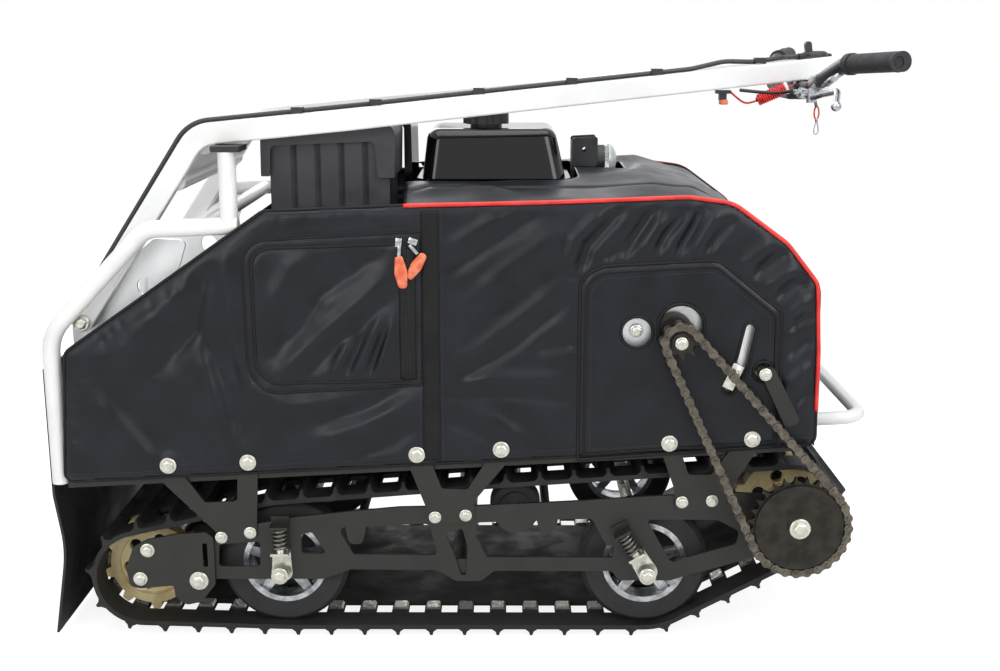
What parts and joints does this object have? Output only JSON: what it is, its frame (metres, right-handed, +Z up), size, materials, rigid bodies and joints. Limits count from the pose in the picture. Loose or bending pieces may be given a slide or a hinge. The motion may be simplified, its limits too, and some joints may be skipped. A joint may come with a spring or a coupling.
{
  "type": "tracked snow towing vehicle",
  "caption": "Walk-behind tracked snow tug: rubber track under a fabric-covered engine body, chain drive on one side, drawbar with handlebar folded over the top.",
  "frame": {"origin": "on the ground under the middle of the whole machine with its drawbar folded", "axes": "+X is the driving direction, +Y is the machine's left side, +Z is up"},
  "size_m": [1.268, 0.707, 0.8798],
  "materials": {
    "track_rubber": "matt ribbed rubber",
    "wheel_polymer": "worn ochre polyurethane",
    "tyre": "solid rubber",
    "rim_aluminium": "machined cast aluminium",
    "roller": "rubber with a zinc cap",
    "zinc_steel": "zinc plated",
    "black_steel": "satin black powder coat",
    "chain_steel": "oiled raw steel",
    "engine": "cast block",
    "gloss_black": "gloss black paint",
    "black_plastic": "moulded plastic",
    "lens": "domed lens",
    "cover_fabric": "coated nylon, charcoal navy",
    "white_paint": "white powder coat",
    "black_rubber": "plain rubber",
    "black_tube": "black enamel",
    "lever_metal": "polished lever",
    "red_cord": "red polyurethane cord"
  },
  "bodies": {
    "chassis": {"track_belt": "track_rubber", "idler_wheels": "wheel_polymer", "drive_wheels": "wheel_polymer", "road_tyres": "tyre", "road_rims": "rim_aluminium", "return_rollers": "roller", "axles": "zinc_steel", "drive_shaft": "zinc_steel", "spring_yokes": "zinc_steel", "suspension_springs": "zinc_steel", "gearbox_plate": "zinc_steel", "pivot_brackets": "zinc_steel", "track_clips": "zinc_steel", "side_frame_right": "black_steel", "side_frame_left": "black_steel", "hanger_brackets": "black_steel", "idler_arms": "black_steel", "cross_members": "black_steel", "reverse_lever": "black_steel", "chassis_tray": "black_steel", "drive_chain": "chain_steel", "driven_sprocket": "chain_steel", "drive_pinion": "chain_steel", "engine_block": "engine", "fuel_tank": "gloss_black", "engine_shroud": "gloss_black", "fuel_cap": "black_plastic", "air_filter_box": "black_plastic", "headlight_housing": "black_plastic", "headlight_lens": "lens", "cover_right": "cover_fabric", "cover_left": "cover_fabric", "cover_hood": "cover_fabric", "rear_guard_right": "white_paint", "rear_guard_left": "white_paint", "rear_guard_cross": "white_paint", "front_bumper": "white_paint", "tow_hitch": "white_paint", "mud_flap": "black_rubber", "guard_pads": "black_rubber"},
    "drawbar": {"drawbar_rail_right": "white_paint", "drawbar_rail_left": "white_paint", "drawbar_cross_tubes": "white_paint", "handlebar": "black_tube", "grips": "black_rubber", "handlebar_clamp": "black_plastic", "brake_lever": "lever_metal", "throttle_control": "black_plastic", "control_cables": "black_rubber", "cable_clips": "black_plastic", "kill_switch": "black_plastic", "lanyard_cord": "red_cord", "lanyard_coil": "red_cord", "snap_hook": "lever_metal"}
  },
  "joints": [
    {"name": "drawbar_fold", "type": "hinge", "parent": "chassis", "child": "drawbar", "pos_m": [-0.51972, 0, 0.484], "axis": [0, -1, 0], "range_deg": [0, 150]}
  ]
}
